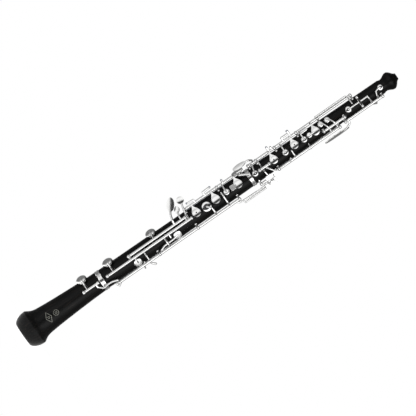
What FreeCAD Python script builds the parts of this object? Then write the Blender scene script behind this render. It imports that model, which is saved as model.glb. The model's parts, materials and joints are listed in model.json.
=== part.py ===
import FreeCAD, Part
import math
import os

# Oboe in three sections, stood upright on its bell: +Z runs up the bore, the bell rim lies at z = 0,
# the finger plates face -Y and the player's right hand side is -X. Lengths are in millimetres.
# Everything is laid out with x = across the front (towards the player's right) and y = out of the
# front, and is given its half turn about the bore when it is written.

V = FreeCAD.Vector
UP = V(0, 0, 1)

# ---- driving dimensions ------------------------------------------------------------------------
LENGTH = 600.0             # bell rim to the top of the crown
LOWER_JOINT_Z = 129.5      # shoulder of the lower joint, on the bell ring
UPPER_JOINT_Z = 367.5      # shoulder of the upper joint, on the lower joint's ring
LOWER_TENON = 18.0
UPPER_TENON = 22.0
TENON_FIT = 0.05           # radial clearance of a cork in its socket
LOWER_SOCKET_R = 11.0
UPPER_SOCKET_R = 9.0
REED_WELL_R = 3.5
REED_WELL_DEPTH = 18.0

TUBE_R = 1.85              # key tubes that turn on the hinge rods
ROD_R = 1.0
RUNNING_FIT = 0.05
BALL_R = 2.5               # ball heads of the posts
POST_R = 1.3
END_GAP = 0.15             # end float between a tube and its neighbour
PAD_THICK = 2.2
PAD_GAP = 0.06             # pad to wood when a key is shut

# ---- hinge lines: distance across the front and out of the front -------------------------------
BELL_LINE = (0.0, 19.2)
FRONT_LINE = (0.0, 18.6)
SECOND_LINE = (5.6, 17.4)
LEFT_LINE = (-15.4, 11.0)
STACK_LINE = (14.6, 9.8)
UPPER_STACK_LINE = (14.2, 8.0)
UPPER_LEFT_LINE = (-12.5, 9.1)
OCTAVE_LINE = (-11.2, 8.4)
TRILL_LINE = (-5.6, 14.6)
LITTLE_FINGER_LINE = (0.5, 16.4)
LEVER_LINE = (-15.6, 6.6)
SEE_SAW_Z = 540.0
SEE_SAW_OUT = 15.0

# ---- outer shape of the wood: (radius, height) --------------------------------------------------
BELL_FLARE = [(24.7, 18.0), (23.4, 20.6), (21.5, 23.6), (20.0, 27.0), (19.1, 30.5), (18.4, 36.0), (17.8, 43.0)]
BELL_TAPER = [(16.8, 57.0), (15.7, 77.0), (14.8, 96.0), (14.2, 113.0), (14.0, 123.5)]
LOWER_TAPER = [(13.8, 136.0), (13.55, 160.0), (13.3, 205.0), (12.95, 245.0), (12.6, 285.0), (12.2, 330.0), (12.0, 362.0)]
UPPER_TAPER = [(11.8, 378.0), (11.3, 400.0), (10.75, 450.0), (10.3, 500.0), (10.0, 545.0), (9.8, 575.0)]
CROWN = [(10.3, 583.0), (11.6, 585.4), (12.6, 588.2), (12.5, 590.2), (11.0, 593.0), (8.4, 595.4), (5.8, 597.6), (4.9, 599.0)]

# ---- bore -----------------------------------------------------------------------------------------
BELL_BORE_TOP_R = 8.0
LOWER_BORE_R = (7.6, 4.9)
UPPER_BORE_R = (4.7, 2.2)

pieces = {}


def keep(name, *shapes):
    pieces.setdefault(name, []).extend(shapes)


def cylinder(start, end, radius):
    way = end - start
    return Part.makeCylinder(radius, way.Length, start, way)


def cone(start, end, start_r, end_r):
    way = end - start
    if abs(start_r - end_r) < 1e-6:
        return cylinder(start, end, start_r)
    return Part.makeCone(start_r, end_r, way.Length, start, way)


def fuse(shapes):
    whole = shapes[0]
    if len(shapes) > 1:
        whole = whole.multiFuse(shapes[1:])
    if len(whole.Solids) == 1:
        return whole.Solids[0]
    return whole


def turned(points, smooth=()):
    """Solid of revolution about the bore. Each run of indices in smooth is one flowing curve."""
    corners = [V(radius, 0, height) for radius, height in points]
    edges = []
    at = 0
    while at < len(corners) - 1:
        run = [last for first, last in smooth if first == at]
        if run:
            curve = Part.BSplineCurve()
            curve.interpolate(corners[at:run[0] + 1])
            edges.append(curve.toShape())
            at = run[0]
        else:
            edges.append(Part.LineSegment(corners[at], corners[at + 1]).toShape())
            at += 1
    edges.append(Part.LineSegment(corners[-1], corners[0]).toShape())
    face = Part.Face(Part.Wire(edges))
    return face.revolve(V(0, 0, 0), UP, 360)


def wood_radius(height):
    """Outer radius of the wood at a height, between the points of its outline."""
    outline = BELL_FLARE + BELL_TAPER + LOWER_TAPER + UPPER_TAPER + CROWN
    for (low_r, low_z), (high_r, high_z) in zip(outline, outline[1:]):
        if low_z <= height <= high_z:
            return low_r + (high_r - low_r) * (height - low_z) / (high_z - low_z)
    return outline[0][0]


# ---- wooden sections -------------------------------------------------------------------------------
def flare_profile():
    outer = [(17.0, 0.0), (19.2, 1.6), (21.6, 4.8), (23.4, 8.8), (24.3, 13.0)] + BELL_FLARE + BELL_TAPER
    top = [(14.0, LOWER_JOINT_Z - 6.0), (13.1, LOWER_JOINT_Z - 6.0), (13.1, LOWER_JOINT_Z),
           (LOWER_SOCKET_R, LOWER_JOINT_Z), (LOWER_SOCKET_R, LOWER_JOINT_Z - LOWER_TENON - 0.3)]
    inner = [(BELL_BORE_TOP_R, LOWER_JOINT_Z - LOWER_TENON - 0.3), (9.2, 80.0), (11.0, 45.0), (13.2, 24.0),
             (15.4, 8.0), (15.8, 0.0)]
    return outer[:-1] + top + inner


def bell_body():
    points = flare_profile()
    ridge = 5
    throat = ridge + len(BELL_FLARE) - 1
    taper_end = throat + len(BELL_TAPER)
    smooth = [(0, 4), (ridge, throat), (throat, taper_end)]
    return turned(points, smooth)


def joint_body(outline, foot_z, foot_r, tenon, bore, socket, top_z):
    """Wooden joint: tenon below its shoulder, tapered outside and, where socket is set, a socket on top."""
    bottom = foot_z - tenon
    outer = [(bore[0], bottom), (foot_r - 2.0, bottom), (foot_r - 2.0, foot_z), (outline[0][0] - 0.1, foot_z)]
    first = len(outer)
    points = outer + outline
    smooth = [(first, first + len(outline) - 1)]
    if socket:
        ring_r, depth = socket
        points += [(11.4, top_z - 5.5), (11.4, top_z), (ring_r, top_z), (ring_r, top_z - depth)]
        points += [(bore[1], top_z - depth)]
    return turned(points, smooth)


def upper_body():
    foot_r = UPPER_SOCKET_R - 2.0
    bottom = UPPER_JOINT_Z - UPPER_TENON
    points = [(UPPER_BORE_R[0], bottom), (foot_r, bottom), (foot_r, UPPER_JOINT_Z), (11.9, UPPER_JOINT_Z)]
    first = len(points)
    points += UPPER_TAPER + CROWN
    knee = first + len(UPPER_TAPER) - 1
    end = first + len(UPPER_TAPER) + len(CROWN) - 1
    points += [(4.6, LENGTH), (REED_WELL_R, LENGTH), (REED_WELL_R, LENGTH - REED_WELL_DEPTH),
               (UPPER_BORE_R[1], LENGTH - REED_WELL_DEPTH)]
    return turned(points, [(first, knee), (knee, end)])


def cork(foot_z, socket_r, tenon):
    """Cork sleeve on a tenon, a running fit in its socket."""
    outer = socket_r - TENON_FIT
    inner = socket_r - 2.0
    low = foot_z - tenon + 2.0
    high = foot_z - 2.0
    return turned([(inner, low), (outer - 0.4, low), (outer, low + 1.0), (outer, high), (inner, high)])


def banded_ring(inner_r, low, high, bulge_r):
    """Socket ring of two half-round bands with a groove between them."""
    middle = (low + high) / 2.0
    points = [(inner_r, low), (bulge_r - 0.5, low), (bulge_r, low + 0.6), (bulge_r, middle - 0.7),
              (bulge_r - 0.7, middle - 0.2), (bulge_r - 0.7, middle + 0.2), (bulge_r, middle + 0.7),
              (bulge_r, high - 0.6), (bulge_r - 0.5, high), (inner_r, high)]
    return turned(points)


# ---- small parts -----------------------------------------------------------------------------------
def spot(side, out, height):
    """Point at an angle from the front line (towards the player's right) and a distance from the bore."""
    angle = math.radians(side)
    return V(out * math.sin(angle), out * math.cos(angle), height)


def on_wood(shape, side, height, out):
    """Moves a shape drawn flat, +z up and +y down the oboe, so that it lies on the wood at side, height."""
    shape.rotate(V(0, 0, 0), V(1, 0, 0), -90)
    shape.translate(V(0, out, height))
    shape.rotate(V(0, 0, 0), UP, -side)
    return shape


def seat_height(height):
    return wood_radius(height) + 0.3


def tone_hole_rim(side, height, rim_r):
    low = spot(side, wood_radius(height) - 3.0, height)
    return cylinder(low, spot(side, seat_height(height), height), rim_r)


def tone_hole(side, height, hole_r):
    return cylinder(spot(side, 1.0, height), spot(side, seat_height(height) + 2.0, height), hole_r)


def pad(radius, vent_r=0.0):
    rim = radius - 0.7
    points = [(vent_r, 0), (rim - 0.4, 0), (rim, 0.4), (rim, PAD_THICK), (vent_r, PAD_THICK)]
    return turned(points)


def cup(radius, dome):
    """Domed pad cup, hollow below for its pad."""
    rim = radius - 0.7
    shell = [(0, PAD_THICK), (rim, PAD_THICK), (rim, 0.8), (radius, 0.8), (radius, PAD_THICK + 0.5)]
    shell += [(radius * 0.8, PAD_THICK + 0.5 + dome * 0.62), (radius * 0.42, PAD_THICK + 0.5 + dome * 0.93)]
    shell += [(0, PAD_THICK + 0.5 + dome)]
    return turned(shell, [(4, 7)])


def finger_plate(radius, tip, vent_r=0.0):
    """Domed finger plate, pear shaped, with its tip towards the hinge side. tip is its reach from the middle."""
    rim = radius - 0.7
    top = PAD_THICK + 1.0
    disc = turned([(0, PAD_THICK), (rim, PAD_THICK), (rim, 0.8), (radius, 0.8), (radius, top - 0.2),
                   (radius - 0.25, top + 0.05), (radius * 0.66, top + 0.62), (radius * 0.33, top + 0.97),
                   (0, top + 1.08)], [(5, 8)])
    outline = []
    for way in (1, -1):
        curve = Part.BSplineCurve()
        curve.interpolate([V(radius * 0.5, way * radius * 0.85, PAD_THICK), V(radius * 0.98, way * radius * 0.52, PAD_THICK),
                           V(radius * 1.45, way * radius * 0.24, PAD_THICK), V(tip, way * radius * 0.15, PAD_THICK)])
        outline.append(curve.toShape())
    for end in (0, 1):
        outline.append(Part.LineSegment(outline[0].Vertexes[end].Point, outline[1].Vertexes[end].Point).toShape())
    tail = Part.Face(Part.Wire(Part.sortEdges(outline)[0])).extrude(V(0, 0, 1.25))
    tail = tail.cut(Part.makeCylinder(radius - 0.2, 4.0, V(0, 0, PAD_THICK - 1.0)))
    plate = fuse([disc, tail])
    if vent_r:
        plate = plate.cut(Part.makeCylinder(vent_r, 12, V(0, 0, -1)))
    return plate


def arm(points, start_r=1.2, end_r=1.2):
    """Soldered arm: round in section, tapering along its points, with rounded bends."""
    count = len(points) - 1
    solids = []
    for index in range(count):
        low = start_r + (end_r - start_r) * index / count
        high = start_r + (end_r - start_r) * (index + 1) / count
        solids.append(cone(points[index], points[index + 1], low, high))
        solids.append(Part.makeSphere(high, points[index + 1]))
    return fuse(solids)


def touch_piece(centre, along, facing, length, width, thick=1.4, crown=16.0):
    """Oval spatula for a finger, crowned across its width, facing outwards along a direction."""
    outline = Part.Ellipse(V(0, 0, 0), length / 2.0, width / 2.0).toShape()
    solid = Part.Face(Part.Wire([outline])).extrude(V(0, 0, thick + 1.0))
    solid.translate(V(0, 0, -thick / 2.0))
    top = thick / 2.0 + crown - math.sqrt(crown ** 2 - (width / 2.0) ** 2)
    roller = Part.makeCylinder(crown, length + 2.0, V(-length / 2.0 - 1.0, 0, top - crown), V(1, 0, 0))
    solid = solid.common(roller)
    along = V(along).normalize()
    across = V(facing).cross(along).normalize()
    normal = along.cross(across)
    frame = FreeCAD.Matrix(along.x, across.x, normal.x, centre.x, along.y, across.y, normal.y, centre.y,
                           along.z, across.z, normal.z, centre.z, 0, 0, 0, 1)
    solid.Placement = FreeCAD.Placement(frame).multiply(solid.Placement)
    return solid


def on_line(line, height):
    return V(line[0], line[1], height)


def opening_turn(line, side, degrees):
    """Signed turn about a hinge line that lifts a pad at this side of the bore off its hole."""
    angle = math.radians(side)
    seat = spot(side, 15.0, 0.0)
    lift = (seat.x - line[0]) * math.cos(angle) - (seat.y - line[1]) * math.sin(angle)
    return degrees if lift > 0 else -degrees


def key(name, line, span, metal, pads=(), turn=0.0):
    """One soldered key: its tube on a hinge line between two heights, its metal, and its pads.

    Everything is drawn with the pads shut; turn swings the whole key to where it rests."""
    low, high = span
    tube = cylinder(on_line(line, low), on_line(line, high), TUBE_R)
    whole = fuse([tube] + list(metal))
    hole = cylinder(on_line(line, low - 3.0), on_line(line, high + 3.0), ROD_R + RUNNING_FIT)
    whole = whole.cut(hole)
    for shape in pads:
        whole = whole.cut(shape)
    whole = max(whole.Solids, key=lambda solid: solid.Volume)
    whole.rotate(on_line(line, 0), UP, turn)
    keep(name, whole)
    for shape in pads:
        shape.rotate(on_line(line, 0), UP, turn)
        keep(name + "_pad", shape)


def shut_cup(side, height, radius, dome):
    return on_wood(cup(radius, dome), side, height, seat_height(height) + PAD_GAP)


def shut_pad(side, height, radius, vent_r=0.0):
    return on_wood(pad(radius, vent_r), side, height, seat_height(height) + PAD_GAP)


def shut_plate(side, height, radius, tip, vent_r=0.0):
    return on_wood(finger_plate(radius, tip, vent_r), side, height, seat_height(height) + PAD_GAP)


def crown_of_cup(side, height, dome):
    return spot(side, seat_height(height) + PAD_GAP + PAD_THICK + 0.2 + dome, height)


def post(line, height, face=1.8):
    """Ball-headed post: a shank screwed into the wood, a foot flange and a ball with two flats."""
    centre = on_line(line, height)
    out = V(line[0], line[1], 0)
    reach = out.Length
    out.normalize()
    skin = wood_radius(height)
    foot = out * (skin - 3.0)
    foot.z = height
    surface = out * (skin - 0.25)
    surface.z = height
    collar = out * (skin + 0.75)
    collar.z = height
    slab = Part.makeBox(20, 20, 2 * face, V(centre.x - 10, centre.y - 10, height - face))
    ball = Part.makeSphere(BALL_R, centre).common(slab)
    stem_top = out * (reach - 1.2)
    stem_top.z = height
    shank = cylinder(foot, stem_top, POST_R)
    flange = cone(surface, collar, POST_R + 0.9, POST_R)
    return fuse([ball, shank, flange]).cut(cylinder(centre - V(0, 0, 6), centre + V(0, 0, 6), ROD_R))


def rod(line, low, high):
    """Hinge rod with a slotted head at its upper end."""
    shaft = cylinder(on_line(line, low), on_line(line, high), ROD_R)
    slot = Part.makeBox(0.4, 2.4, 0.5, V(line[0] - 0.2, line[1] - 1.2, high - 0.5))
    return shaft.cut(slot)


# ---- tone holes: side of the bore in degrees, height, hole radius, rim radius ------------------------
PLATE_SIDE = 6.0
CUP_SIDE = 62.0
LOW_BFLAT = (CUP_SIDE, 104.5)
LOW_B = (CUP_SIDE, 146.0)
C_SHARP = (-29.0, 179.5)
LOW_C = (CUP_SIDE, 214.5)
E_FLAT = (-29.0, 243.0)
D_HOLE = (PLATE_SIDE, 280.0)
F_RESONANCE = (6.0, 295.4)
E_HOLE = (PLATE_SIDE, 311.0)
F_SHARP_VENT = (PLATE_SIDE, 328.0)
F_SHARP = (PLATE_SIDE, 346.5)
G_SHARP = (2.0, 373.0)
G_HOLE = (3.0, 403.5)
A_VENT = (0.0, 421.5)
A_HOLE = (6.0, 437.0)
C_VENT = (0.0, 451.5)
HALF_HOLE = (4.0, 460.5)
B_HOLE = (2.0, 470.0)
C_TRILL = (22.0, 480.5)
D_TRILL = (22.0, 491.0)
SECOND_OCTAVE = (0.0, 522.0)
FIRST_OCTAVE = (0.0, 573.0)

LARGE = 7.5
SIDE_DISC = 5.6
PLATE = 6.0
PLATE_UP = 5.6
SMALL = 4.2
TRILL = 3.9

BELL_HOLES = [(LOW_BFLAT, 4.2, 5.6)]
LOWER_HOLES = [(LOW_B, 4.0, 5.6), (C_SHARP, 3.6, 4.2), (LOW_C, 3.8, 5.4), (E_FLAT, 3.4, 4.2), (D_HOLE, 3.2, 4.4),
               (F_RESONANCE, 2.2, 3.2), (E_HOLE, 3.0, 4.4), (F_SHARP_VENT, 1.6, 2.8), (F_SHARP, 2.8, 4.4)]
UPPER_HOLES = [(G_SHARP, 1.6, 2.6), (G_HOLE, 2.4, 3.9), (A_VENT, 1.4, 2.4), (A_HOLE, 2.2, 3.9), (C_VENT, 1.2, 2.4),
               (HALF_HOLE, 0.8, 2.0), (B_HOLE, 1.8, 3.6), (C_TRILL, 1.2, 2.4), (D_TRILL, 1.2, 2.4)]
OCTAVE_HOLES = [(SECOND_OCTAVE, 0.6, 2.4), (FIRST_OCTAVE, 0.6, 2.4)]

# ---- posts and rods ------------------------------------------------------------------------------------
BELL_POSTS = [(BELL_LINE, 98.5), (BELL_LINE, 120.5)]
LOWER_POSTS = [(FRONT_LINE, 136.0), (FRONT_LINE, 270.5), (SECOND_LINE, 173.5), (SECOND_LINE, 263.4),
               (LEFT_LINE, 141.0), (LEFT_LINE, 209.0), (LEFT_LINE, 270.5), (LEFT_LINE, 337.0),
               (STACK_LINE, 269.0), (STACK_LINE, 320.5), (STACK_LINE, 358.0)]
UPPER_POSTS = [(UPPER_STACK_LINE, 370.8), (UPPER_STACK_LINE, 383.0), (UPPER_STACK_LINE, 413.0),
               (UPPER_STACK_LINE, 447.5), (UPPER_STACK_LINE, 481.5), (UPPER_STACK_LINE, 534.5),
               (UPPER_LEFT_LINE, 402.5), (UPPER_LEFT_LINE, 500.0),
               (OCTAVE_LINE, 510.0), (OCTAVE_LINE, 569.5), (TRILL_LINE, 479.0), (TRILL_LINE, 512.0),
               (LITTLE_FINGER_LINE, 380.0), (LITTLE_FINGER_LINE, 395.5), (LEVER_LINE, 372.0), (LEVER_LINE, 398.0)]


def rods_through(posts):
    """One hinge rod per line, from its lowest post to its highest."""
    ends = {}
    for line, height in posts:
        low, high = ends.get(line, (height, height))
        ends[line] = (min(low, height), max(high, height))
    return [rod(line, low - 2.2, high + 2.2) for line, (low, high) in ends.items()]


SEE_SAW_POST_T = 6.8


def see_saw_post(across):
    """Post of the cross pivot, standing straight out of the front."""
    centre = V(across, SEE_SAW_OUT, SEE_SAW_Z)
    slab = Part.makeBox(3.2, 20, 20, V(across - 1.6, SEE_SAW_OUT - 10, SEE_SAW_Z - 10))
    ball = Part.makeSphere(BALL_R - 0.2, centre).common(slab)
    stem = cylinder(V(across, 5.6, SEE_SAW_Z), V(across, SEE_SAW_OUT - 1.0, SEE_SAW_Z), POST_R)
    return fuse([ball, stem]).cut(cylinder(centre - V(4, 0, 0), centre + V(4, 0, 0), ROD_R))


# ---- wood with its tone holes and post sockets ----------------------------------------------------------
def drilled(body, holes, fittings):
    for (side, height), hole_r, rim_r in holes:
        body = body.fuse(tone_hole_rim(side, height, rim_r))
    for (side, height), hole_r, rim_r in holes:
        body = body.cut(tone_hole(side, height, hole_r))
    for fitting in fittings:
        body = body.cut(fitting)
    return max(body.Solids, key=lambda solid: solid.Volume)


def build_bell():
    posts = [post(line, height) for line, height in BELL_POSTS]
    keep("bell", drilled(bell_body(), BELL_HOLES, posts))
    keep("bell_ring", banded_ring(13.1, LOWER_JOINT_Z - 6.0, LOWER_JOINT_Z, 14.6))
    keep("bell_posts", *posts)
    keep("bell_hinge_rod", *rods_through(BELL_POSTS))
    key("low_bflat_key", BELL_LINE, (100.45, 118.55),
        [shut_cup(*LOW_BFLAT, LARGE, 2.4),
         arm([on_line(BELL_LINE, 104.5), spot(24, 20.4, 104.5), spot(42, 21.2, 104.5), crown_of_cup(*LOW_BFLAT, 2.4)],
             1.4, 1.1),
         arm([on_line(BELL_LINE, 117.1), V(-4.8, 18.5, 117.3), V(-8.8, 17.4, 121.6)], 1.3, 1.1)],
        [shut_pad(*LOW_BFLAT, LARGE)], opening_turn(BELL_LINE, CUP_SIDE, 6.0))


def thumb_rest():
    """Hooked rest for the right thumb, on a plate screwed to the back."""
    plate = Part.makeBox(11, 2.4, 26, V(-5.5, -14.8, 286))
    plate = plate.makeFillet(1.0, [e for e in plate.Edges if abs(e.Vertexes[0].Y - e.Vertexes[1].Y) > 1])
    hook = Part.makeBox(15, 13, 2.2, V(-7.5, -26.6, 294))
    hook = hook.makeFillet(1.0, [e for e in hook.Edges if abs(e.Vertexes[0].Z - e.Vertexes[1].Z) > 1])
    lip = Part.makeBox(11, 1.8, 5.0, V(-5.5, -26.6, 290.2))
    return fuse([plate, hook, lip])


def thumb_screws():
    screws = []
    for height in (289.5, 303.0, 308.5):
        shank = cylinder(V(0, -9.5, height), V(0, -15.0, height), 1.0)
        head = Part.makeSphere(1.9, V(0, -14.4, height))
        head = head.common(Part.makeBox(6, 3, 6, V(-3, -17.8, height - 3)))
        screws.append(fuse([shank, head]))
    return screws


def build_lower_joint():
    posts = [post(line, height) for line, height in LOWER_POSTS]
    body = joint_body(LOWER_TAPER, LOWER_JOINT_Z, LOWER_SOCKET_R, LOWER_TENON, LOWER_BORE_R,
                      (UPPER_SOCKET_R, UPPER_TENON + 0.3), UPPER_JOINT_Z)
    screws = thumb_screws()
    rest = thumb_rest().cut(body)
    rest = max(rest.Solids, key=lambda solid: solid.Volume)
    for screw in screws:
        rest = rest.cut(screw)
    keep("lower_joint", drilled(body, LOWER_HOLES, posts + screws))
    keep("lower_joint_ring", banded_ring(11.4, UPPER_JOINT_Z - 5.5, UPPER_JOINT_Z, 12.8))
    keep("lower_tenon_cork", cork(LOWER_JOINT_Z, LOWER_SOCKET_R, LOWER_TENON))
    keep("lower_posts", *posts)
    keep("lower_hinge_rods", *rods_through(LOWER_POSTS))
    keep("thumb_rest", rest)
    keep("thumb_rest_screws", *screws)


def stack_key(name, line, span, hole, radius, tip, vent_r=0.0, extra=(), extra_pads=()):
    """Finger plate on the stack at the player's right, standing open above its hole."""
    side, height = hole
    level = seat_height(height) + PAD_GAP + PAD_THICK + 0.5
    start = spot(side, level, height)
    tip_point = start + spot(side + 90, tip - 1.2, 0)
    neck = arm([tip_point, V(line[0] - 0.4, line[1] + 2.6, height), on_line(line, height)], 1.0, 1.3)
    metal = [shut_plate(side, height, radius, tip, vent_r), neck] + list(extra)
    pads = [shut_pad(side, height, radius, vent_r)] + list(extra_pads)
    key(name, line, span, metal, pads, opening_turn(line, side, STACK_OPEN))


STACK_OPEN = 6.0
VENT = 0.9
RIGHT_FACING = V(0.2, 0.98, 0)      # way the touches at the player's right face
LEFT_FACING = V(-0.3, 0.95, 0)


def build_lower_keys():
    key("low_b_key", FRONT_LINE, (137.95, 176.9),
        [shut_cup(*LOW_B, LARGE, 2.4),
         arm([on_line(FRONT_LINE, 146.0), spot(24, 19.8, 146.0), spot(42, 20.6, 146.0), crown_of_cup(*LOW_B, 2.4)], 1.4, 1.1)],
        [shut_pad(*LOW_B, LARGE)], opening_turn(FRONT_LINE, CUP_SIDE, 6.0))
    key("c_sharp_key", FRONT_LINE, (177.05, 268.55),
        [shut_cup(*C_SHARP, SIDE_DISC, 0.8),
         arm([on_line(FRONT_LINE, 179.5), V(-4.0, 18.3, 179.5), crown_of_cup(*C_SHARP, 0.8)], 1.3, 1.0),
         arm([on_line(FRONT_LINE, 193.5), V(-7.0, 18.0, 193.5), V(-12.6, 15.6, 193.5)], 1.2, 1.0),
         arm([on_line(FRONT_LINE, 226.0), V(-6.5, 19.4, 226.0), V(-11.6, 18.6, 226.0)], 1.3, 1.1),
         arm([on_line(FRONT_LINE, 233.5), V(-5.6, 17.4, 233.5)], 1.2, 1.0),
         arm([on_line(FRONT_LINE, 267.0), V(9.0, 17.8, 267.2), V(17.0, 15.4, 268.8), V(25.0, 13.4, 271.0)], 1.4, 1.2),
         touch_piece(V(28.1, 13.2, 271.4), V(-0.2, 0, 1), RIGHT_FACING, 10.2, 10.0)],
        [shut_pad(*C_SHARP, SIDE_DISC)])
    key("low_c_key", SECOND_LINE, (175.45, 251.8),
        [shut_cup(*LOW_C, LARGE - 0.3, 2.4),
         arm([on_line(SECOND_LINE, 214.5), spot(34, 20.0, 214.5), spot(46, 20.2, 214.5), crown_of_cup(*LOW_C, 2.4)], 1.4, 1.1),
         arm([on_line(SECOND_LINE, 247.0), V(12.0, 18.4, 248.0), V(19.0, 16.6, 250.2), V(25.4, 15.2, 254.4)], 1.5, 1.3),
         touch_piece(V(30.2, 14.2, 257.6), V(0.8, -0.17, 0.57), RIGHT_FACING, 19.0, 10.4)],
        [shut_pad(*LOW_C, LARGE - 0.3)], opening_turn(SECOND_LINE, CUP_SIDE, 6.0))
    key("e_flat_touch", SECOND_LINE, (251.95, 261.45),
        [arm([on_line(SECOND_LINE, 258.0), V(11.0, 16.4, 258.2), V(17.0, 13.2, 260.2)], 1.4, 1.1),
         touch_piece(V(20.2, 11.8, 260.8), V(0.8, -0.17, 0.57), RIGHT_FACING, 9.6, 7.6)])
    key("e_flat_key", LEFT_LINE, (210.95, 268.55),
        [shut_cup(*E_FLAT, SIDE_DISC, 0.8),
         arm([on_line(LEFT_LINE, 213.0), V(-12.4, 14.2, 214.0), V(-9.9, 15.4, 220.0), V(-9.3, 15.9, 236.0),
              crown_of_cup(*E_FLAT, 0.6)], 1.4, 1.1)],
        [shut_pad(*E_FLAT, SIDE_DISC)])
    key("low_bflat_link", LEFT_LINE, (142.95, 207.05),
        [arm([on_line(LEFT_LINE, 145.6), V(-11.8, 15.0, 144.2), V(-9.4, 15.6, 137.0), V(-9.0, 14.9, 131.0),
              V(-10.0, 13.8, 125.0), V(-9.4, 13.9, 121.6)], 1.5, 1.1),
         arm([on_line(LEFT_LINE, 147.2), V(-19.4, 8.2, 141.6)], 1.3, 1.1),
         arm([on_line(LEFT_LINE, 184.5), V(-12.2, 14.8, 187.0)], 1.3, 1.1),
         arm([on_line(LEFT_LINE, 183.5), V(-19.4, 8.0, 183.0)], 1.3, 1.1),
         arm([on_line(LEFT_LINE, 192.0), V(-19.5, 8.4, 194.0), V(-22.6, 6.8, 197.5)], 1.1, 1.5)])
    tab = Part.makeBox(7.4, 1.3, 7.0, V(-2.2, 15.6, 334.6))
    tab = tab.makeFillet(0.5, tab.Edges)
    tab_neck = Part.makeBox(3.0, 1.3, 5.0, V(0.2, 15.6, 338.6))
    vent_arm = arm([on_line(STACK_LINE, 328.0), V(9.6, 16.0, 328.0), crown_of_cup(*F_SHARP_VENT, 1.2)], 1.2, 1.0)
    bridge = arm([on_line(STACK_LINE, 353.0), V(10.4, 14.6, 354.2), V(4.4, 16.2, 364.6)], 1.7, 1.4)
    adjuster = arm([on_line(STACK_LINE, 331.0), V(18.6, 11.8, 331.0)], 1.3, 1.6)
    bridge_plate = fuse([arm([on_line(STACK_LINE, 349.4), V(15.3, 14.6, 350.6)], 1.6, 1.4),
                         touch_piece(V(15.3, 15.0, 354.4), UP, V(0.7, 0.7, 0), 17.0, 8.0)])
    stack_key("d_key", STACK_LINE, (270.95, 296.9), D_HOLE, PLATE, 12.5, VENT,
              [arm([on_line(STACK_LINE, 286.0), V(18.6, 11.4, 286.0), V(19.4, 11.4, 276.0)], 1.3, 1.2)])
    stack_key("e_key", STACK_LINE, (297.05, 318.55), E_HOLE, PLATE, 12.5, 0.0,
              [arm([on_line(STACK_LINE, 302.0), V(19.6, 11.6, 302.0), V(20.0, 11.4, 313.0)], 1.3, 1.5)])
    stack_key("f_sharp_key", STACK_LINE, (322.45, 356.05), F_SHARP, PLATE, 12.0, 0.0,
              [shut_cup(*F_SHARP_VENT, SMALL, 1.2), vent_arm, tab, tab_neck, bridge, bridge_plate, adjuster], [shut_pad(*F_SHARP_VENT, SMALL)])
    key("f_resonance_key", LEFT_LINE, (272.45, 335.05),
        [shut_cup(*F_RESONANCE, 6.4, 0.9),
         arm([on_line(LEFT_LINE, 300.6), V(-10.4, 16.6, 300.6), V(-3.6, 18.6, 300.2), V(-1.6, 18.4, 298.8),
              crown_of_cup(*F_RESONANCE, 0.7)], 1.4, 1.0),
         arm([on_line(LEFT_LINE, 321.5), V(-9.0, 15.8, 321.5), V(0.0, 17.0, 321.5), V(6.0, 15.8, 321.5)], 1.3, 1.0),
         arm([on_line(LEFT_LINE, 331.0), V(-18.8, 10.4, 334.0), V(-20.2, 9.8, 340.0)], 1.3, 1.1)],
        [shut_pad(*F_RESONANCE, 6.4)], opening_turn(LEFT_LINE, 6.0, 5.0))


def build_upper_joint():
    posts = [post(line, height) for line, height in UPPER_POSTS]
    cross_posts = [see_saw_post(SEE_SAW_POST_T), see_saw_post(-SEE_SAW_POST_T)]
    body = drilled(upper_body(), UPPER_HOLES + OCTAVE_HOLES, posts + cross_posts)
    keep("upper_joint", body)
    keep("upper_tenon_cork", cork(UPPER_JOINT_Z, UPPER_SOCKET_R, UPPER_TENON))
    keep("upper_posts", *posts, *cross_posts)
    cross_rod = cylinder(V(-8.6, SEE_SAW_OUT, SEE_SAW_Z), V(8.6, SEE_SAW_OUT, SEE_SAW_Z), ROD_R)
    keep("upper_hinge_rods", *rods_through(UPPER_POSTS), cross_rod)


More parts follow.
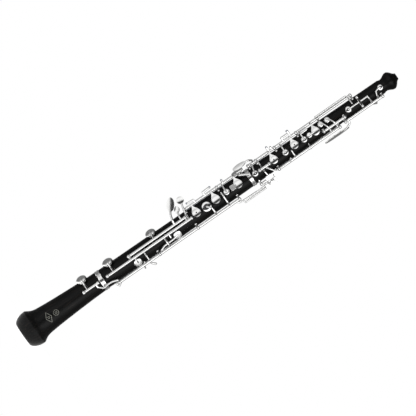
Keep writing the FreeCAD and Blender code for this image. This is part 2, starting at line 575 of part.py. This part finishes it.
def build_upper_keys():
    line = UPPER_STACK_LINE
    key("g_sharp_key", line, (372.75, 376.6),
        [shut_cup(*G_SHARP, SMALL, 1.2),
         arm([on_line(line, 375.2), V(8.4, 14.6, 374.6), crown_of_cup(*G_SHARP, 1.2)], 1.3, 1.0)],
        [shut_pad(*G_SHARP, SMALL)])
    key("side_trill_lever", line, (376.75, 381.05),
        [arm([on_line(line, 379.0), V(17.6, 11.6, 379.0), V(20.2, 15.4, 375.0), V(20.7, 16.2, 368.0)], 1.3, 1.2),
         touch_piece(V(20.7, 16.6, 361.0), UP, V(0.5, 0.87, 0), 20.0, 6.6)])
    stack_key("g_key", line, (384.95, 411.05), G_HOLE, PLATE_UP, 12.0, VENT,
              [arm([on_line(line, 404.5), V(20.4, 10.0, 404.5)], 1.3, 1.6), arm([on_line(line, 408.8), V(17.8, 9.6, 409.0)], 1.3, 1.4)])
    screw = fuse([arm([on_line(line, 428.0), V(19.4, 10.0, 428.0), V(19.2, 9.8, 437.0)], 1.3, 1.5),
                  arm([on_line(line, 439.4), V(22.6, 10.4, 439.4)], 1.2, 1.6)])
    vent_arm = arm([on_line(line, 421.5), V(8.4, 14.0, 421.5), crown_of_cup(*A_VENT, 1.2)], 1.2, 1.0)
    stack_key("a_key", line, (414.95, 445.55), A_HOLE, PLATE_UP, 12.0, VENT,
              [shut_cup(*A_VENT, SMALL, 1.2), vent_arm, screw], [shut_pad(*A_VENT, SMALL)])
    c_vent = [shut_cup(*C_VENT, SMALL, 1.2),
              arm([on_line(line, 451.6), V(8.6, 13.8, 451.5), crown_of_cup(*C_VENT, 1.2)], 1.2, 1.0),
              arm([V(8.6, 13.8, 451.5), V(9.0, 13.8, 461.5)], 1.1, 1.1)]
    half_plate = fuse([shut_cup(*HALF_HOLE, 3.6, 0.8), arm([V(0.6, 13.9, 461.0), V(1.0, 13.9, 466.6)], 1.3, 1.3)])
    stack_key("b_key", line, (449.45, 479.55), B_HOLE, PLATE_UP, 12.0, 0.0, [half_plate] + c_vent,
              [shut_pad(*HALF_HOLE, 3.6), shut_pad(*C_VENT, SMALL)])
    key("upper_trill_lever", line, (483.45, 532.55),
        [arm([on_line(line, 530.2), V(9.4, 14.6, 530.2), V(3.9, 17.6, 530.2)], 1.4, 1.1),
         arm([on_line(line, 528.6), V(16.8, 11.8, 528.0), V(16.8, 11.8, 480.0)], 1.2, 1.0)])
    for name, span, at, hole in (("c_trill_key", (480.95, 495.4), 487.0, C_TRILL),
                                 ("d_trill_key", (495.55, 510.05), 497.5, D_TRILL)):
        key(name, TRILL_LINE, span,
            [shut_cup(*hole, TRILL, 1.0),
             arm([on_line(TRILL_LINE, at), V(-2.0, 16.0, at - 1.0), V(3.4, 14.8, hole[1] + 3.0),
                  crown_of_cup(*hole, 1.0)], 1.1, 0.9),
             arm([on_line(TRILL_LINE, at), V(-9.0, 14.2, at), V(-11.0, 13.4, at)], 1.1, 1.0)],
            [shut_pad(*hole, TRILL)])
    collar = cylinder(on_line(UPPER_LEFT_LINE, 451.2), on_line(UPPER_LEFT_LINE, 453.8), TUBE_R + 0.6)
    key("trill_link_lever", UPPER_LEFT_LINE, (404.45, 498.05),
        [arm([on_line(UPPER_LEFT_LINE, 429.5), V(-9.0, 13.8, 429.5), V(-2.0, 15.2, 429.5)], 1.3, 1.0),
         arm([on_line(UPPER_LEFT_LINE, 420.0), V(-9.6, 12.6, 423.0)], 1.8, 1.2),
         collar,
         arm([on_line(UPPER_LEFT_LINE, 453.0), V(-7.6, 13.6, 453.0)], 1.2, 0.9)])
    key("g_sharp_lever", LITTLE_FINGER_LINE, (381.95, 393.55),
        [arm([on_line(LITTLE_FINGER_LINE, 384.6), V(6.0, 16.6, 384.6), V(11.0, 14.2, 384.6)], 1.2, 1.0),
         arm([on_line(LITTLE_FINGER_LINE, 384.6), V(-5.0, 16.2, 384.6), V(-10.5, 14.4, 385.4)], 1.3, 1.1),
         touch_piece(V(-13.6, 13.8, 385.6), UP, LEFT_FACING, 10.0, 8.4),
         arm([on_line(LITTLE_FINGER_LINE, 388.4), V(-5.4, 16.6, 392.4), V(-10.0, 15.2, 395.6)], 1.4, 1.1),
         touch_piece(V(-18.4, 13.0, 397.0), V(1, 0.4, -0.3), LEFT_FACING, 17.0, 8.0)])
    key("left_b_lever", LEVER_LINE, (373.95, 384.9),
        [arm([on_line(LEVER_LINE, 380.0), V(-22.0, 7.6, 380.0)], 1.4, 1.2),
         touch_piece(V(-28.0, 7.0, 379.0), V(1, 0.3, -0.3), LEFT_FACING, 17.0, 6.0),
         arm([on_line(LEVER_LINE, 376.4), V(-20.4, 4.6, 375.6), V(-20.4, 4.2, 362.0), V(-19.8, 4.2, 339.0)], 1.4, 1.1)])
    key("left_bflat_lever", LEVER_LINE, (385.05, 396.05),
        [arm([on_line(LEVER_LINE, 388.0), V(-22.0, 7.6, 387.4)], 1.4, 1.2),
         touch_piece(V(-26.8, 7.0, 387.4), V(1, 0.3, -0.4), LEFT_FACING, 15.0, 7.0),
         arm([on_line(LEVER_LINE, 388.0), V(-20.2, 3.6, 385.0), V(-23.0, 2.2, 376.0), V(-23.4, 2.4, 341.0)], 1.4, 1.1)])


def build_octave_keys():
    line = OCTAVE_LINE
    key("side_octave_lever", line, (511.95, 556.95),
        [arm([on_line(line, 514.2), V(-16.0, 7.6, 513.6), V(-19.3, 7.2, 506.0), V(-19.3, 7.0, 499.0)], 1.4, 1.0),
         touch_piece(V(-19.3, 6.8, 491.0), UP, V(-0.87, 0.5, 0), 38.0, 6.0, 1.3),
         arm([on_line(line, 553.0), V(-7.0, 14.4, 553.0), V(-3.0, 17.2, 552.6), V(0.4, 17.8, 552.2)], 1.3, 1.1)])
    key("first_octave_key", line, (557.05, 567.55),
        [shut_cup(*FIRST_OCTAVE, SMALL - 0.2, 1.2),
         arm([on_line(line, 563.6), V(-5.6, 13.8, 563.4), V(-1.4, 14.6, 564.8), V(0, 14.4, 568.4),
              crown_of_cup(*FIRST_OCTAVE, 1.2)], 1.4, 1.0),
         arm([on_line(line, 559.4), V(-14.4, 1.0, 558.0), V(-12.6, -8.0, 554.6), V(-8.0, -13.8, 550.0)], 1.4, 1.1),
         touch_piece(V(-5.6, -14.2, 547.0), UP, V(-0.3, -0.95, 0), 17.0, 9.0)],
        [shut_pad(*FIRST_OCTAVE, SMALL - 0.2)])
    tube = cylinder(V(-5.05, SEE_SAW_OUT, SEE_SAW_Z), V(5.05, SEE_SAW_OUT, SEE_SAW_Z), TUBE_R)
    bar = arm([V(0, SEE_SAW_OUT, 553.4), V(0, SEE_SAW_OUT, SEE_SAW_Z), V(0, SEE_SAW_OUT, 528.0),
               crown_of_cup(*SECOND_OCTAVE, 1.2)], 1.2, 1.0)
    see_saw = fuse([tube, bar, shut_cup(*SECOND_OCTAVE, SMALL, 1.2)])
    hole = cylinder(V(-8, SEE_SAW_OUT, SEE_SAW_Z), V(8, SEE_SAW_OUT, SEE_SAW_Z), ROD_R + RUNNING_FIT)
    keep("second_octave_key", see_saw.cut(hole).cut(shut_pad(*SECOND_OCTAVE, SMALL)).Solids[0])
    keep("second_octave_key_pad", shut_pad(*SECOND_OCTAVE, SMALL))


# ---- needle springs: (hinge line, post height, length up the oboe) ---------------------------------------
LOWER_SPRINGS = [(FRONT_LINE, 136.0, 18.0), (SECOND_LINE, 173.5, 20.0), (LEFT_LINE, 141.0, 20.0),
                 (LEFT_LINE, 209.0, 20.0), (STACK_LINE, 269.0, 18.0), (STACK_LINE, 320.5, 18.0)]
UPPER_SPRINGS = [(UPPER_STACK_LINE, 383.0, 16.0), (UPPER_STACK_LINE, 413.0, 16.0), (UPPER_STACK_LINE, 447.5, 14.0),
                 (UPPER_LEFT_LINE, 402.5, 20.0)]


def needle_spring(line, height, length):
    """Steel needle driven into a post just below its ball."""
    out = V(line[0], line[1], 0)
    start = out * ((out.Length - 2.9) / out.Length)
    start.z = height + POST_R
    return cone(start, start + V(0, 0, length), 0.3, 0.2)


def build_springs():
    keep("lower_needle_springs", *[needle_spring(*spring) for spring in LOWER_SPRINGS])
    keep("upper_needle_springs", *[needle_spring(*spring) for spring in UPPER_SPRINGS])


def write_pieces():
    os.makedirs("parts", exist_ok=True)
    for name, shapes in pieces.items():
        whole = shapes[0] if len(shapes) == 1 else Part.makeCompound(shapes)
        whole.rotate(V(0, 0, 0), UP, 180)
        whole.exportStep("parts/" + name + ".step")


build_bell()
build_lower_joint()
build_lower_keys()
build_upper_joint()
build_upper_keys()
build_octave_keys()
build_springs()
write_pieces()
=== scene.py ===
import bpy
import bmesh
import json
import math
from mathutils import Matrix, Vector


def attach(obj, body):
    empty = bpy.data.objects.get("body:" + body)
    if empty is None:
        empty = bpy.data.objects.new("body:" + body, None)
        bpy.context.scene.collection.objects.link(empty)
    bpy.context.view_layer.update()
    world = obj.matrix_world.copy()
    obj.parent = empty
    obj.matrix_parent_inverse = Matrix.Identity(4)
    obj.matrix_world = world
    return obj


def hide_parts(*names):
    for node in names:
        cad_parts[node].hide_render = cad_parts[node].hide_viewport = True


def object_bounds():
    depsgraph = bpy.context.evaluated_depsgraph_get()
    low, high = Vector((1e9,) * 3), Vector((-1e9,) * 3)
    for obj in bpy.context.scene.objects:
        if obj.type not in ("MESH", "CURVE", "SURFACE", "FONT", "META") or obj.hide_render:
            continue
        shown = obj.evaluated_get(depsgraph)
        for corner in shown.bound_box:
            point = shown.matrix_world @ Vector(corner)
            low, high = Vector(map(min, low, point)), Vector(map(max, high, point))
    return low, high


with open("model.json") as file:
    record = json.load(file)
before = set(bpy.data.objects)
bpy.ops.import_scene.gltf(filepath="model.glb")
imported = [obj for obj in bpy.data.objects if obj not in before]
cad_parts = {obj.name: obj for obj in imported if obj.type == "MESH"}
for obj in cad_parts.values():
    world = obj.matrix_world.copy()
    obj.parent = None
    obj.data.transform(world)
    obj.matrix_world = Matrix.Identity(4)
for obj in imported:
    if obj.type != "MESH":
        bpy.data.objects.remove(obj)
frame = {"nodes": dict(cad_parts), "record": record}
bounds_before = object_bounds()
nodes = frame["nodes"]
scene = bpy.context.scene
MM = 0.001


# ---- materials ---------------------------------------------------------------------------------
def new_material(name):
    material = bpy.data.materials.new(name)
    material.use_nodes = True
    tree = material.node_tree
    shader = tree.nodes["Principled BSDF"]
    return material, tree, shader


def add(tree, kind, **values):
    node = tree.nodes.new(kind)
    for key, value in values.items():
        if key in node.inputs:
            node.inputs[key].default_value = value
        else:
            setattr(node, key, value)
    return node


def object_coordinates(tree, stretch):
    where = tree.nodes.new("ShaderNodeTexCoord")
    mapping = tree.nodes.new("ShaderNodeMapping")
    mapping.inputs["Scale"].default_value = stretch
    tree.links.new(where.outputs["Object"], mapping.inputs["Vector"])
    return mapping.outputs["Vector"]


def noise(tree, stretch, detail, rough):
    """Noise with a given number of cells to the metre along each axis of the object."""
    node = add(tree, "ShaderNodeTexNoise", Scale=1.0, Detail=detail, Roughness=rough)
    tree.links.new(object_coordinates(tree, stretch), node.inputs["Vector"])
    return node.outputs["Fac"]


def ramp(tree, value, stops):
    """Colour that a value from 0 to 1 picks from a list of (place, colour)."""
    node = tree.nodes.new("ShaderNodeValToRGB")
    elements = node.color_ramp.elements
    elements[0].position, elements[0].color = stops[0][0], (*stops[0][1], 1)
    elements[1].position, elements[1].color = stops[-1][0], (*stops[-1][1], 1)
    for position, colour in stops[1:-1]:
        element = elements.new(position)
        element.color = (*colour, 1)
    tree.links.new(value, node.inputs["Fac"])
    return node.outputs["Color"]


def spread(tree, value, low, high):
    """Takes a value from 0 to 1 to the span from low to high."""
    node = add(tree, "ShaderNodeMapRange")
    node.inputs["To Min"].default_value = low
    node.inputs["To Max"].default_value = high
    tree.links.new(value, node.inputs["Value"])
    return node.outputs["Result"]


def multiply(tree, first, second):
    """Product of two colours."""
    node = add(tree, "ShaderNodeMixRGB", blend_type="MULTIPLY")
    node.inputs["Fac"].default_value = 1.0
    tree.links.new(first, node.inputs["Color1"])
    tree.links.new(second, node.inputs["Color2"])
    return node.outputs["Color"]


def bump(tree, shader, value, strength, distance):
    node = add(tree, "ShaderNodeBump", Strength=strength, Distance=distance)
    tree.links.new(value, node.inputs["Height"])
    tree.links.new(node.outputs["Normal"], shader.inputs["Normal"])


def blackwood():
    """Oiled black wood: faint brown streaks along its length, and open pores a few millimetres long."""
    material, tree, shader = new_material("blackwood")
    streak = noise(tree, (650, 650, 16), 5.0, 0.62)
    pores = noise(tree, (3200, 3200, 200), 3.0, 0.55)
    colour = ramp(tree, streak, [(0.30, (0.0018, 0.0021, 0.0021)), (0.54, (0.0036, 0.0038, 0.0037)),
                                 (0.70, (0.017, 0.0125, 0.0105))])
    open_pores = ramp(tree, pores, [(0.30, (0.25, 0.25, 0.25)), (0.42, (1.0, 1.0, 1.0))])
    tree.links.new(multiply(tree, colour, open_pores), shader.inputs["Base Color"])
    tree.links.new(spread(tree, pores, 0.52, 0.22), shader.inputs["Roughness"])
    shader.inputs["Specular IOR Level"].default_value = 0.13
    bump(tree, shader, pores, 0.30, 0.00008)
    return material


def silver():
    """Polished silver plate, slightly clouded and marked by handling."""
    material, tree, shader = new_material("silver_plate")
    cloud = noise(tree, (60, 60, 60), 4.0, 0.6)
    handling = noise(tree, (700, 700, 700), 3.0, 0.5)
    colour = ramp(tree, cloud, [(0.25, (0.80, 0.80, 0.79)), (0.75, (0.93, 0.93, 0.925))])
    tree.links.new(colour, shader.inputs["Base Color"])
    tree.links.new(spread(tree, handling, 0.10, 0.22), shader.inputs["Roughness"])
    shader.inputs["Metallic"].default_value = 1.0
    bump(tree, shader, handling, 0.03, 0.00004)
    return material


def steel():
    """Blued screw steel, drawn lengthwise."""
    material, tree, shader = new_material("blued_steel")
    drawn = noise(tree, (2500, 2500, 60), 3.0, 0.5)
    colour = ramp(tree, drawn, [(0.3, (0.30, 0.32, 0.36)), (0.7, (0.48, 0.50, 0.54))])
    tree.links.new(colour, shader.inputs["Base Color"])
    tree.links.new(spread(tree, drawn, 0.22, 0.36), shader.inputs["Roughness"])
    shader.inputs["Metallic"].default_value = 1.0
    bump(tree, shader, drawn, 0.05, 0.00003)
    return material


def cork(name, light, dark):
    """Fine sheet cork with dark grains."""
    material, tree, shader = new_material(name)
    grains = noise(tree, (1100, 1100, 1100), 5.0, 0.7)
    colour = ramp(tree, grains, [(0.34, dark), (0.5, light), (0.7, tuple(c * 1.15 for c in light))])
    tree.links.new(colour, shader.inputs["Base Color"])
    shader.inputs["Roughness"].default_value = 0.85
    bump(tree, shader, grains, 0.35, 0.00012)
    return material


def skin():
    """Wrinkled pale skin over a pad."""
    material, tree, shader = new_material("pad_skin")
    wrinkle = noise(tree, (420, 420, 420), 6.0, 0.55)
    colour = ramp(tree, wrinkle, [(0.3, (0.70, 0.64, 0.52)), (0.7, (0.86, 0.82, 0.72))])
    tree.links.new(colour, shader.inputs["Base Color"])
    shader.inputs["Roughness"].default_value = 0.55
    bump(tree, shader, wrinkle, 0.2, 0.00008)
    return material


def gilt():
    """Metal leaf rubbed into a stamped mark, mostly worn off."""
    material, tree, shader = new_material("worn_leaf")
    wear = noise(tree, (1400, 1400, 1400), 4.0, 0.65)
    colour = ramp(tree, wear, [(0.38, (0.03, 0.03, 0.028)), (0.62, (0.30, 0.30, 0.26))])
    tree.links.new(colour, shader.inputs["Base Color"])
    tree.links.new(spread(tree, wear, 0.4, 0.65), shader.inputs["Roughness"])
    shader.inputs["Metallic"].default_value = 0.35
    bump(tree, shader, wear, 0.15, 0.00004)
    return material


materials = {
    "blackwood": blackwood(),
    "silver_plate": silver(),
    "blued_steel": steel(),
    "tenon_cork": cork("tenon_cork", (0.52, 0.34, 0.20), (0.26, 0.15, 0.08)),
    "pad_cork": cork("pad_cork", (0.56, 0.38, 0.23), (0.32, 0.20, 0.11)),
    "pad_skin": skin(),
}
leaf = gilt()
slot_of = {part["node"]: part["material_slot"] for part in frame["record"]["subparts"]}

for name, obj in nodes.items():
    obj.data.materials.clear()
    obj.data.materials.append(materials[slot_of[name]])


# ---- meshes ------------------------------------------------------------------------------------
def mesh_object(name, vertices, faces, material, body, sharp=False):
    """Piece made of vertices and faces, riding on a body if one is named, with smooth faces unless sharp."""
    mesh = bpy.data.meshes.new(name)
    mesh.from_pydata([tuple(v) for v in vertices], [], faces)
    mesh.update()
    obj = bpy.data.objects.new(name, mesh)
    scene.collection.objects.link(obj)
    mesh.materials.append(material)
    if not sharp:
        for polygon in mesh.polygons:
            polygon.use_smooth = True
    if body:
        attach(obj, body)
    return obj


# ---- pads: skin over felt, with the ring that the tone hole has pressed into it ----------------------
# profiles in millimetres, out from the rim of the pad and up from its face
RING = [(-2.05, 0.0), (-1.8, 0.11), (-1.4, 0.11), (-1.15, 0.0), (-0.55, 0.02)]
SKIN_EDGE = [(-0.20, 0.15), (-0.03, 0.45), (0.0, 0.8)]
SKIN_FOLD = 0.1         # the back edge of the pad is rounded off by this much in height
SKIN_INSET = 0.12       # and by this much in radius
VENT_SINK = 0.02
LARGEST_VENT = 1.5
PAD_STEPS = 56
WELD = 0.000001


def solids_of(node):
    """Lists of the points and faces of each separate solid in a CAD node, read from its mesh."""
    work = bmesh.new()
    work.from_mesh(nodes[node].data)
    bmesh.ops.remove_doubles(work, verts=work.verts, dist=WELD)
    seen = set()
    found = []
    for start in work.verts:
        if start.index in seen:
            continue
        seen.add(start.index)
        group = [start]
        for vertex in group:
            for edge in vertex.link_edges:
                other = edge.other_vert(vertex)
                if other.index not in seen:
                    seen.add(other.index)
                    group.append(other)
        faces = {face for vertex in group for face in vertex.link_faces}
        found.append(([v.co.copy() for v in group], [(f.normal.copy(), f.calc_area()) for f in faces]))
    work.free()
    return found


def disc_frame(points, faces):
    """Middle of the lower face, axis, radius, thickness and vent radius of a flat round solid."""
    totals = {}
    for normal, size in faces:
        key = tuple(round(c, 2) for c in normal)
        totals[key] = totals.get(key, 0.0) + size
    axis = Vector(max(totals, key=totals.get)).normalized()
    middle = sum(points, Vector()) / len(points)
    if axis.dot(Vector((middle.x, middle.y, 0))) < 0:
        axis = -axis
    heights = [(p - middle).dot(axis) for p in points]
    radii = [((p - middle) - axis * (p - middle).dot(axis)).length for p in points]
    vent = min(radii) if min(radii) < LARGEST_VENT * MM else 0.0
    return middle + axis * min(heights), axis, max(radii), max(heights) - min(heights), vent


def lathe(profile, foot, axis, steps, shell):
    """Adds a turned form to a list of vertices and faces. profile is a list of (radius, height).

    It runs from the axis to the axis, or is a closed ring when it starts off the axis."""
    vertices, faces = shell
    side = axis.orthogonal().normalized()
    other = axis.cross(side)
    closed = profile[0][0] > 0
    rows = []
    for radius, height in profile:
        if radius == 0:
            rows.append([len(vertices)] * steps)
            vertices.append(foot + axis * height)
            continue
        rows.append(list(range(len(vertices), len(vertices) + steps)))
        for step in range(steps):
            angle = 2 * math.pi * step / steps
            outwards = side * math.cos(angle) + other * math.sin(angle)
            vertices.append(foot + axis * height + outwards * radius)
    pairs = list(zip(rows, rows[1:])) + ([(rows[-1], rows[0])] if closed else [])
    for low, high in pairs:
        for step in range(steps):
            corner = [low[step], high[step], high[(step + 1) % steps], low[(step + 1) % steps]]
            faces.append(tuple(dict.fromkeys(corner)))


def make_pad(node, body):
    """Skin pad in place of each plain disc of a pad node."""
    shell = ([], [])
    for points, faces in solids_of(node):
        foot, axis, radius, thick, vent = disc_frame(points, faces)
        face = [(radius + out * MM, up * MM) for out, up in RING + SKIN_EDGE if radius + out * MM > vent]
        rear = [(radius, thick - SKIN_FOLD * MM), (radius - SKIN_INSET * MM, thick), (vent, thick)]
        lathe([(vent, VENT_SINK * MM)] + face + rear, foot, axis, PAD_STEPS, shell)
    piece = mesh_object(node.replace("_pad", "_skin_pad"), *shell, materials["pad_skin"], body)
    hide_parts(node)


bodies = frame["record"]["behaviour"]["bodies"]
body_of = {node: body for body, members in bodies.items() for node in members}
for node in sorted(nodes):
    if slot_of[node] == "pad_skin":
        make_pad(node, body_of[node])


# ---- stamped mark on the bell: a plain lozenge and rings, worn thin ----------------------------------
# millimetres, across the bell's front and up from its rim
MARK_X = 0.5
MARK_Z = 41.5
MARK_LIFT = 0.05
STROKE = 0.8
LOZENGE = [(0.0, -4.0), (7.6, 0.0), (0.0, 4.0), (-7.6, 0.0)]
SIDE_STEPS = 8
RINGS = [(0.0, 1.3, 20), (11.5, 3.6, 32), (11.5, 1.3, 20)]      # height above MARK_Z, radius, steps
IN_FRONT = 0.1          # metres before the bell, where the search for its surface starts


def on_bell(across, height):
    """Point and normal of the bell's front, across towards the player's left and up, in millimetres."""
    start = Vector((across * MM, -IN_FRONT, height * MM))
    _, place, normal, _ = nodes["bell"].ray_cast(start, Vector((0, 1, 0)))
    return place, normal


def stroke(path, shell):
    """Adds a thin raised ribbon that follows the bell round a closed path of (across, height) points."""
    vertices, faces = shell
    first = len(vertices)
    count = len(path)
    for index, point in enumerate(path):
        run = (Vector(path[(index + 1) % count]) - Vector(path[index - 1])).normalized()
        for way in (1, -1):
            place, normal = on_bell(point[0] - run.y * way * STROKE / 2, point[1] + run.x * way * STROKE / 2)
            for lift in (MARK_LIFT, -MARK_LIFT):
                vertices.append(place + normal * lift * MM)
    ring = (0, 1, 3, 2)
    for index in range(count):
        low = first + 4 * index
        high = first + 4 * ((index + 1) % count)
        for a, b in zip(ring, ring[1:] + ring[:1]):
            faces.append((low + a, low + b, high + b, high + a))


def lozenge():
    """Points along the four sides of the lozenge."""
    points = []
    for (x0, z0), (x1, z1) in zip(LOZENGE, LOZENGE[1:] + LOZENGE[:1]):
        for step in range(SIDE_STEPS):
            way = step / SIDE_STEPS
            points.append((MARK_X + x0 + (x1 - x0) * way, MARK_Z + z0 + (z1 - z0) * way))
    return points


def circle(across, height, radius, steps):
    """Points round a circle."""
    angles = [2 * math.pi * step / steps for step in range(steps)]
    return [(across + radius * math.cos(angle), height + radius * math.sin(angle)) for angle in angles]


mark = ([], [])
stroke(lozenge(), mark)
for rise, radius, steps in RINGS:
    stroke(circle(MARK_X, MARK_Z + rise, radius, steps), mark)
stamp = mesh_object("bell_mark", *mark, leaf, "bell", sharp=True)


# ---- adjusting screws --------------------------------------------------------------------------------
# millimetres
SCREW_R = 1.15
SCREW_STEPS = 20
SHANK = 0.62            # part of the head's radius
SHANK_DEPTH = 0.3
HEAD_RIM = 0.35
HEAD_HALF = [(0.3, 1.0), (0.62, 1.0), (0.8, 0.86)]      # height, and part of the head's radius
HALF_ANGLE = 78         # degrees either side of its middle that each half of the slotted head takes up
HALF_STEPS = 10
BAR_SIDE = -16.8        # the bars stand out beyond this at the player's right
BAR_REACH = 1.6         # how far above and below a screw its bar is looked for
TIP_DEPTH = 0.3
SCREW_FACING = Vector((-0.35, -0.94, 0))
# the key that each screw sits on, and its height
ADJUSTERS = [("d_key", 276.0), ("e_key", 313.0), ("f_sharp_key", 331.0), ("g_key", 404.5), ("a_key", 437.0),
             ("a_key", 439.4)]


def key_tip(node, height, towards):
    """Outermost point of a key near a height, looking along a direction."""
    points = [v.co for v in nodes[node].data.vertices if v.co.x < BAR_SIDE * MM]
    near = [co for co in points if abs(co.z - height * MM) < BAR_REACH * MM]
    reach = max(co.dot(towards) for co in near)
    tips = [co for co in near if co.dot(towards) > reach - TIP_DEPTH * MM]
    return sum(tips, Vector()) / len(tips)


def slotted_screw(foot, axis, shell):
    """Adds a short screw whose head is two halves with the slot between them."""
    r = SCREW_R * MM
    shank = [(0, -SHANK_DEPTH * MM), (r * SHANK, -SHANK_DEPTH * MM), (r * SHANK, 0.0)]
    head = [(r, 0.0), (r, HEAD_RIM * MM), (0, HEAD_RIM * MM)]
    lathe(shank + head, foot, axis, SCREW_STEPS, shell)
    vertices, faces = shell
    side = axis.orthogonal().normalized()
    other = axis.cross(side)
    for way in (1, -1):
        rim = []
        for step in range(HALF_STEPS + 1):
            angle = math.radians(HALF_ANGLE * (2 * step / HALF_STEPS - 1))
            rim.append((side * math.cos(angle) * way + other * math.sin(angle)) * r)
        first = len(vertices)
        for height, keep in HEAD_HALF:
            vertices.extend(foot + point * keep + axis * height * MM for point in rim)
        count = len(rim)
        for level in (0, 1):
            for step in range(count):
                a = first + level * count + step
                b = first + level * count + (step + 1) % count
                quad = (a, b, b + count, a + count)
                faces.append(quad if way > 0 else quad[::-1])
        top = tuple(range(first + 2 * count, first + 3 * count))
        bottom = tuple(range(first, first + count))
        faces.append(top if way > 0 else top[::-1])
        faces.append(bottom[::-1] if way > 0 else bottom)


for number, (node, height) in enumerate(ADJUSTERS, 1):
    shell = ([], [])
    slotted_screw(key_tip(node, height, SCREW_FACING), SCREW_FACING.normalized(), shell)
    screw = mesh_object(f"adjusting_screw_{number}", *shell, materials["blued_steel"], node, sharp=True)


# ---- camera ------------------------------------------------------------------------------------
TILT = math.radians(34.72)      # how far the oboe leans from level
PLANE_WIDTH = 0.5499            # metres across the view at the oboe
AIM = (0.00258, 0.00344)        # metres that the view's middle is left of and below the oboe's
LENS = 300.0
SENSOR = 36.0
CLIP_END = 50.0
right = Vector((math.sin(TILT), 0, math.cos(TILT)))
above = Vector((-math.cos(TILT), 0, math.sin(TILT)))
back = Vector((0, -1, 0))
centre = Vector((0, 0, (bounds_before[0][2] + bounds_before[1][2]) / 2)) - right * AIM[0] - above * AIM[1]
distance = PLANE_WIDTH * LENS / SENSOR
camera_data = bpy.data.cameras.new("camera")
camera_data.lens = LENS
camera_data.sensor_width = SENSOR
camera_data.clip_end = CLIP_END
camera = bpy.data.objects.new("camera", camera_data)
place = Matrix((right, above, back)).transposed().to_4x4()
place.translation = centre + back * distance
camera.matrix_world = place
scene.collection.objects.link(camera)
scene.camera = camera


# ---- studio: a round room about the oboe, a white backdrop, a pale floor and one soft light ------------
# brightness of the room by its direction: degrees from the front, up towards the player's right
SKY = [(-180, 0.40), (-120, 0.20), (-94, 0.18), (-76, 0.36), (-56, 0.70), (-44, 1.6), (-33, 3.0),
       (-22, 1.8), (-10, 0.03), (10, 0.03), (17, 1.05), (38, 1.10), (54, 0.72), (76, 0.50), (96, 0.18),
       (125, 0.20), (180, 0.40)]
SKY_PEAK = max(level for _, level in SKY)
# how much of it is left towards the ends of the oboe, by the square of a direction's height
SKY_ENDS = [(0.0, 1.0), (0.25, 1.0), (0.7, 0.2), (1.0, 0.12)]
FLOOR_RADIUS = 0.16
FLOOR_DROP = 0.0004
FLOOR_STEPS = 64
SIDE_LIGHT_AT = Vector((1.7, -1.5, 0.3))
SIDE_LIGHT_SIZE = (0.9, 1.6)
SIDE_LIGHT_POWER = 2.0


def maths(tree, operation, first, second):
    """Result of a maths node. The second value is a number or another node's output."""
    node = add(tree, "ShaderNodeMath", operation=operation)
    tree.links.new(first, node.inputs[0])
    if isinstance(second, float):
        node.inputs[1].default_value = second
    else:
        tree.links.new(second, node.inputs[1])
    return node.outputs["Value"]


def room_colour(tree):
    """Brightness of the room in every direction: bright sides, a dark band at the front, and darker ends."""
    parts = tree.nodes.new("ShaderNodeSeparateXYZ")
    tree.links.new(tree.nodes.new("ShaderNodeTexCoord").outputs["Generated"], parts.inputs["Vector"])
    # the player's right is -X and the front is -Y, so both are turned round before the angle is taken
    sideways = maths(tree, "MULTIPLY", parts.outputs["X"], -1.0)
    forwards = maths(tree, "MULTIPLY", parts.outputs["Y"], -1.0)
    turn = add(tree, "ShaderNodeMapRange")
    turn.inputs["From Min"].default_value = -math.pi
    turn.inputs["From Max"].default_value = math.pi
    tree.links.new(maths(tree, "ARCTAN2", sideways, forwards), turn.inputs["Value"])
    around = [(0.5 + at / 360.0, (level / SKY_PEAK,) * 3) for at, level in SKY]
    along = [(at, (level,) * 3) for at, level in SKY_ENDS]
    height = maths(tree, "MULTIPLY", parts.outputs["Z"], parts.outputs["Z"])
    return multiply(tree, ramp(tree, turn.outputs["Result"], around), ramp(tree, height, along))


def room():
    """World that lights the oboe as a room does, and is plain white where the camera sees it."""
    world = bpy.data.worlds.new("studio")
    world.use_nodes = True
    tree = world.node_tree
    lit = tree.nodes["Background"]
    lit.inputs["Strength"].default_value = SKY_PEAK
    tree.links.new(room_colour(tree), lit.inputs["Color"])
    paper = add(tree, "ShaderNodeBackground", Strength=1.0)
    paper.inputs["Color"].default_value = (1, 1, 1, 1)
    rays = tree.nodes.new("ShaderNodeLightPath")
    pick = tree.nodes.new("ShaderNodeMixShader")
    tree.links.new(rays.outputs["Is Camera Ray"], pick.inputs["Fac"])
    tree.links.new(lit.outputs["Background"], pick.inputs[1])
    tree.links.new(paper.outputs["Background"], pick.inputs[2])
    tree.links.new(pick.outputs["Shader"], tree.nodes["World Output"].inputs["Surface"])
    return world


def pale_floor():
    """Round patch of floor under the bell."""
    material, _, shader = new_material("pale_floor")
    shader.inputs["Base Color"].default_value = (0.93, 0.93, 0.93, 1)
    shader.inputs["Roughness"].default_value = 0.9
    shader.inputs["Emission Color"].default_value = (1, 1, 1, 1)
    shader.inputs["Emission Strength"].default_value = 1.0
    rim = [(x, y, -FLOOR_DROP) for x, y in circle(0.0, 0.0, FLOOR_RADIUS, FLOOR_STEPS)]
    return mesh_object("floor", rim, [tuple(range(FLOOR_STEPS))], material, None, sharp=True)


def side_light():
    """Soft light at the player's left, aimed at the middle of the oboe."""
    data = bpy.data.lights.new("soft_side", "AREA")
    data.energy = SIDE_LIGHT_POWER
    data.shape = "RECTANGLE"
    data.size, data.size_y = SIDE_LIGHT_SIZE
    light = bpy.data.objects.new("soft_side", data)
    light.location = centre + SIDE_LIGHT_AT
    light.rotation_euler = (-SIDE_LIGHT_AT).to_track_quat("-Z", "Y").to_euler()
    scene.collection.objects.link(light)


scene.world = room()
scene.view_settings.view_transform = "Standard"
scene.view_settings.look = "None"
pale_floor()
side_light()
